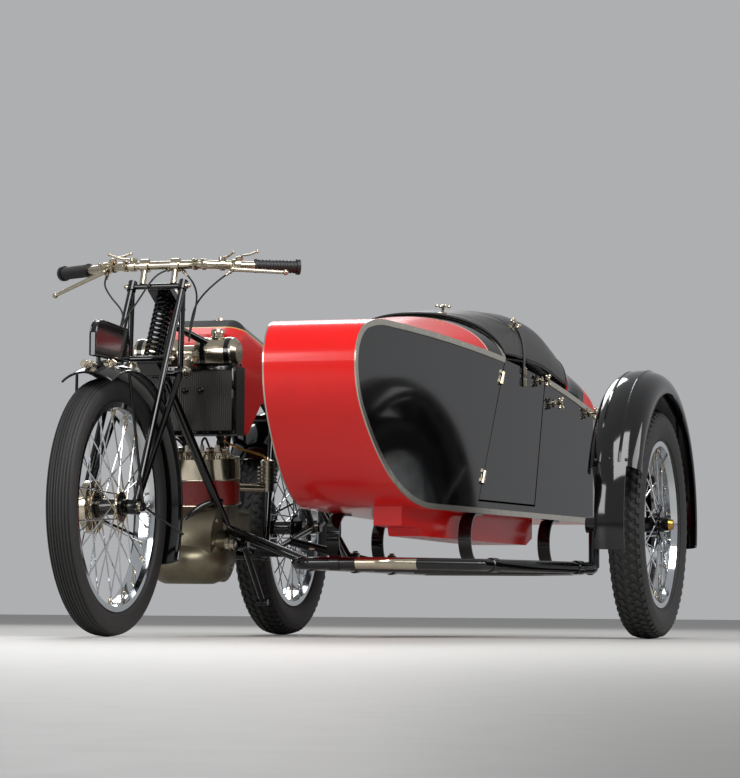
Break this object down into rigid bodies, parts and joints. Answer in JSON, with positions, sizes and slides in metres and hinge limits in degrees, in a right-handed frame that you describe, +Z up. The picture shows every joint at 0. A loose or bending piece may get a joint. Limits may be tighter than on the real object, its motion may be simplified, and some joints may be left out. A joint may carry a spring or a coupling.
{
  "type": "sidecar motorcycle",
  "caption": "Vintage motorcycle with girder fork and a single-seat sidecar; steering, three wheels, sidecar door and prop stand move.",
  "frame": {"origin": "centre of the whole outfit's box, on the ground", "axes": "+X forward, +Y to the rider's left where the sidecar is, +Z up"},
  "size_m": [2.3464, 1.664, 1.0724],
  "materials": {
    "gloss_black": "gloss",
    "red_paint": "gloss",
    "nickel": "polished",
    "chrome": "polished",
    "cast_aluminium": "satin",
    "polished_aluminium": "polished",
    "tyre": "matte",
    "grip_rubber": "matte",
    "leather": "satin",
    "cover_cloth": "matte",
    "brass": "polished",
    "radiator_black": "matte"
  },
  "bodies": {
    "frame": {"rear_axle": "nickel", "side_axle": "nickel", "frame_tubes": "gloss_black", "crankcase": "cast_aluminium", "cylinder_block": "cast_aluminium", "cylinder_cap": "nickel", "exhaust_box": "cast_aluminium", "gearbox": "cast_aluminium", "magneto": "gloss_black", "carburettor": "nickel", "chain_guard": "gloss_black", "undertray": "gloss_black", "fuel_tank": "red_paint", "filler_cap": "nickel", "radiator": "radiator_black", "header_tank": "nickel", "rear_mudguard": "gloss_black", "rear_guard_stays": "gloss_black", "saddle": "leather", "saddle_springs": "gloss_black", "footrests": "grip_rubber", "side_panel_outer": "gloss_black", "side_panel_inner": "gloss_black", "tail_panel": "gloss_black", "nose_and_floor": "red_paint", "scuttle_deck": "red_paint", "tail_deck": "red_paint", "cockpit_cover": "cover_cloth", "coaming": "polished_aluminium", "beading": "polished_aluminium", "seat_cushion": "leather", "seat_back": "leather", "chassis_tubes": "gloss_black", "body_springs": "gloss_black", "under_tray": "red_paint", "side_mudguard": "gloss_black", "side_guard_stays": "gloss_black"},
    "steering": {"fork_girder": "gloss_black", "steering_yokes": "gloss_black", "fork_spring": "gloss_black", "handlebar": "nickel", "bar_clamps": "nickel", "grips": "grip_rubber", "control_levers": "nickel", "front_mudguard": "gloss_black", "front_guard_stays": "gloss_black", "number_plate": "gloss_black", "front_axle": "nickel"},
    "front_wheel": {"front_tyre": "tyre", "front_wire_wheel": "chrome"},
    "rear_wheel": {"rear_tyre": "tyre", "rear_wire_wheel": "chrome"},
    "side_wheel": {"side_tyre": "tyre", "side_wire_wheel": "chrome", "hub_cap": "brass"},
    "door": {"door": "gloss_black"},
    "prop_stand": {"prop_stand": "gloss_black"}
  },
  "joints": [
    {"name": "steering_turn", "type": "hinge", "parent": "frame", "child": "steering", "pos_m": [0.43911, -0.46003, 0.81993], "axis": [-0.4695, 0, 0.8829], "range_deg": [-28, 28]},
    {"name": "front_wheel_spin", "type": "hinge", "parent": "steering", "child": "front_wheel", "pos_m": [0.82675, -0.46003, 0.3465], "axis": [0, 1, 0], "continuous": true},
    {"name": "rear_wheel_spin", "type": "hinge", "parent": "frame", "child": "rear_wheel", "pos_m": [-0.58325, -0.46003, 0.3315], "axis": [0, 1, 0], "continuous": true},
    {"name": "side_wheel_spin", "type": "hinge", "parent": "frame", "child": "side_wheel", "pos_m": [-0.33325, 0.75597, 0.3315], "axis": [0, 1, 0], "continuous": true},
    {"name": "door_swing", "type": "hinge", "parent": "frame", "child": "door", "pos_m": [-0.17861, 0.32749, 0.604], "axis": [0.4323, -0.0454, -0.9006], "range_deg": [0, 40]},
    {"name": "stand_fold", "type": "hinge", "parent": "frame", "child": "prop_stand", "pos_m": [0.12375, -0.33003, 0.264], "axis": [0, 1, 0], "range_deg": [-45, 0]}
  ]
}
